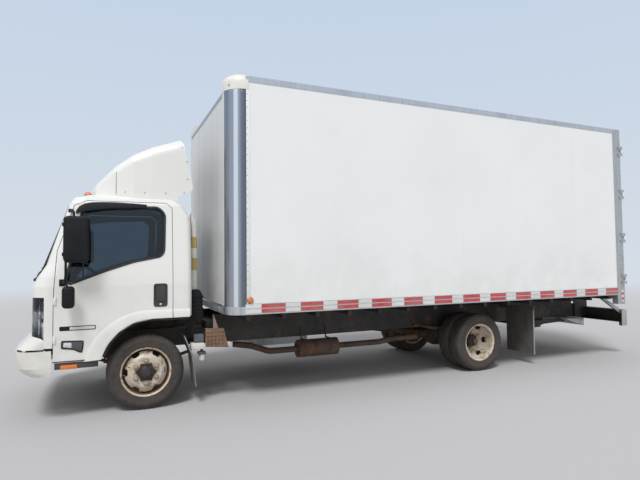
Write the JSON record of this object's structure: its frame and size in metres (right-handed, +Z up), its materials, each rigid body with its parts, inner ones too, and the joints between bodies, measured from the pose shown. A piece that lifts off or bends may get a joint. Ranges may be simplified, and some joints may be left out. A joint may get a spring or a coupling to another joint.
{
  "type": "box truck",
  "caption": "Cab-over delivery truck with a tall closed load box, tilting cab, roof fairing, hinged cab and rear doors, steered front wheels and twin rear wheels.",
  "frame": {"origin": "on the ground, at the middle of the truck's length and width", "axes": "+X forward along the truck, +Y to its left, +Z up"},
  "size_m": [8.692, 2.646, 3.653],
  "materials": {
    "cab_paint": "white paint, a little dirty",
    "frame_paint": "matt black chassis paint with road dirt",
    "cast_iron": "grimy casting",
    "spring_steel": "rusty spring steel",
    "exhaust_steel": "dull heated steel",
    "tank_metal": "black paint",
    "duct_plastic": "grey-white duct",
    "rusty_steel": "rusty plate",
    "mud_rubber": "black rubber",
    "galvanised": "galvanised steel",
    "amber_lens": "amber lens",
    "floor_wood": "hardwood boards",
    "box_panel": "white skin with scuffs",
    "box_aluminium": "bright extrusion",
    "cab_glass": "tinted glass",
    "lamp_glass": "clear lens over a bright bowl",
    "cab_floor_paint": "dark floor",
    "trim_plastic": "black moulded plastic",
    "seat_fabric": "grey woven cloth",
    "wheel_paint": "cream-white wheel with rust streaks",
    "tyre": "worn black tyre"
  },
  "bodies": {
    "chassis": {"frame_rails": "frame_paint", "frame_crossmembers": "frame_paint", "powertrain": "cast_iron", "front_axle": "frame_paint", "rear_axle": "frame_paint", "leaf_springs": "spring_steel", "exhaust": "exhaust_steel", "fuel_tank": "tank_metal", "air_intake": "duct_plastic", "side_shield": "rusty_steel", "mud_guards": "mud_rubber", "front_bumper": "cab_paint", "rear_bumper": "galvanised", "marker_lamps": "amber_lens", "box_subframe": "frame_paint", "box_floor": "floor_wood", "box_wall_left": "box_panel", "box_wall_right": "box_panel", "box_front_wall": "box_panel", "box_roof": "box_panel", "box_corner_posts": "box_aluminium", "box_rails": "box_aluminium", "box_rear_frame": "galvanised"},
    "cab": {"cab_shell": "cab_paint", "windscreen": "cab_glass", "rear_window": "cab_glass", "headlamps": "lamp_glass", "front_panel": "cab_paint", "front_valance": "cab_paint", "cab_floor": "cab_floor_paint", "roof_fairing": "cab_paint", "dashboard": "trim_plastic", "seats": "seat_fabric"},
    "door_left": {"door_left": "cab_paint", "door_glass_left": "cab_glass", "mirror_left": "trim_plastic"},
    "door_right": {"door_right": "cab_paint", "door_glass_right": "cab_glass", "mirror_right": "trim_plastic"},
    "knuckle_left": {"knuckle_left": "cast_iron"},
    "knuckle_right": {"knuckle_right": "cast_iron"},
    "front_wheel_left": {"wheel_front_left": "wheel_paint", "tyre_front_left": "tyre"},
    "front_wheel_right": {"wheel_front_right": "wheel_paint", "tyre_front_right": "tyre"},
    "rear_wheels_left": {"wheels_rear_left": "wheel_paint", "tyres_rear_left": "tyre"},
    "rear_wheels_right": {"wheels_rear_right": "wheel_paint", "tyres_rear_right": "tyre"},
    "box_door_left": {"rear_door_left": "box_panel"},
    "box_door_right": {"rear_door_right": "box_panel"}
  },
  "joints": [
    {"name": "cab_tilt", "type": "hinge", "parent": "chassis", "child": "cab", "pos_m": [4.104, 0, 0.8], "axis": [0, 1, 0], "range_deg": [0, 45]},
    {"name": "door_left_swing", "type": "hinge", "parent": "cab", "child": "door_left", "pos_m": [3.959, 1.035, 1.2], "axis": [0, 0, -1], "range_deg": [0, 70]},
    {"name": "door_right_swing", "type": "hinge", "parent": "cab", "child": "door_right", "pos_m": [3.959, -1.035, 1.2], "axis": [0, 0, 1], "range_deg": [0, 70]},
    {"name": "steer_left", "type": "hinge", "parent": "chassis", "child": "knuckle_left", "pos_m": [3.084, 0.69, 0.4], "axis": [0, 0, 1], "range_deg": [-32, 32]},
    {"name": "steer_right", "type": "hinge", "parent": "chassis", "child": "knuckle_right", "pos_m": [3.084, -0.69, 0.4], "axis": [0, 0, 1], "range_deg": [-32, 32]},
    {"name": "box_door_left_swing", "type": "hinge", "parent": "chassis", "child": "box_door_left", "pos_m": [-4.163, 1.312, 2.2], "axis": [0, 0, -1], "range_deg": [0, 250]},
    {"name": "box_door_right_swing", "type": "hinge", "parent": "chassis", "child": "box_door_right", "pos_m": [-4.163, -1.312, 2.2], "axis": [0, 0, 1], "range_deg": [0, 250]},
    {"name": "roll_front_left", "type": "hinge", "parent": "knuckle_left", "child": "front_wheel_left", "pos_m": [3.084, 0.832, 0.4], "axis": [0, 1, 0], "continuous": true},
    {"name": "roll_front_right", "type": "hinge", "parent": "knuckle_right", "child": "front_wheel_right", "pos_m": [3.084, -0.832, 0.4], "axis": [0, 1, 0], "continuous": true},
    {"name": "roll_rear_left", "type": "hinge", "parent": "chassis", "child": "rear_wheels_left", "pos_m": [-1.386, 0.825, 0.4], "axis": [0, 1, 0], "continuous": true},
    {"name": "roll_rear_right", "type": "hinge", "parent": "chassis", "child": "rear_wheels_right", "pos_m": [-1.386, -0.825, 0.4], "axis": [0, 1, 0], "continuous": true}
  ],
  "couplings": [
    {"joint": "steer_right", "follows": "steer_left", "ratio": 1}
  ]
}
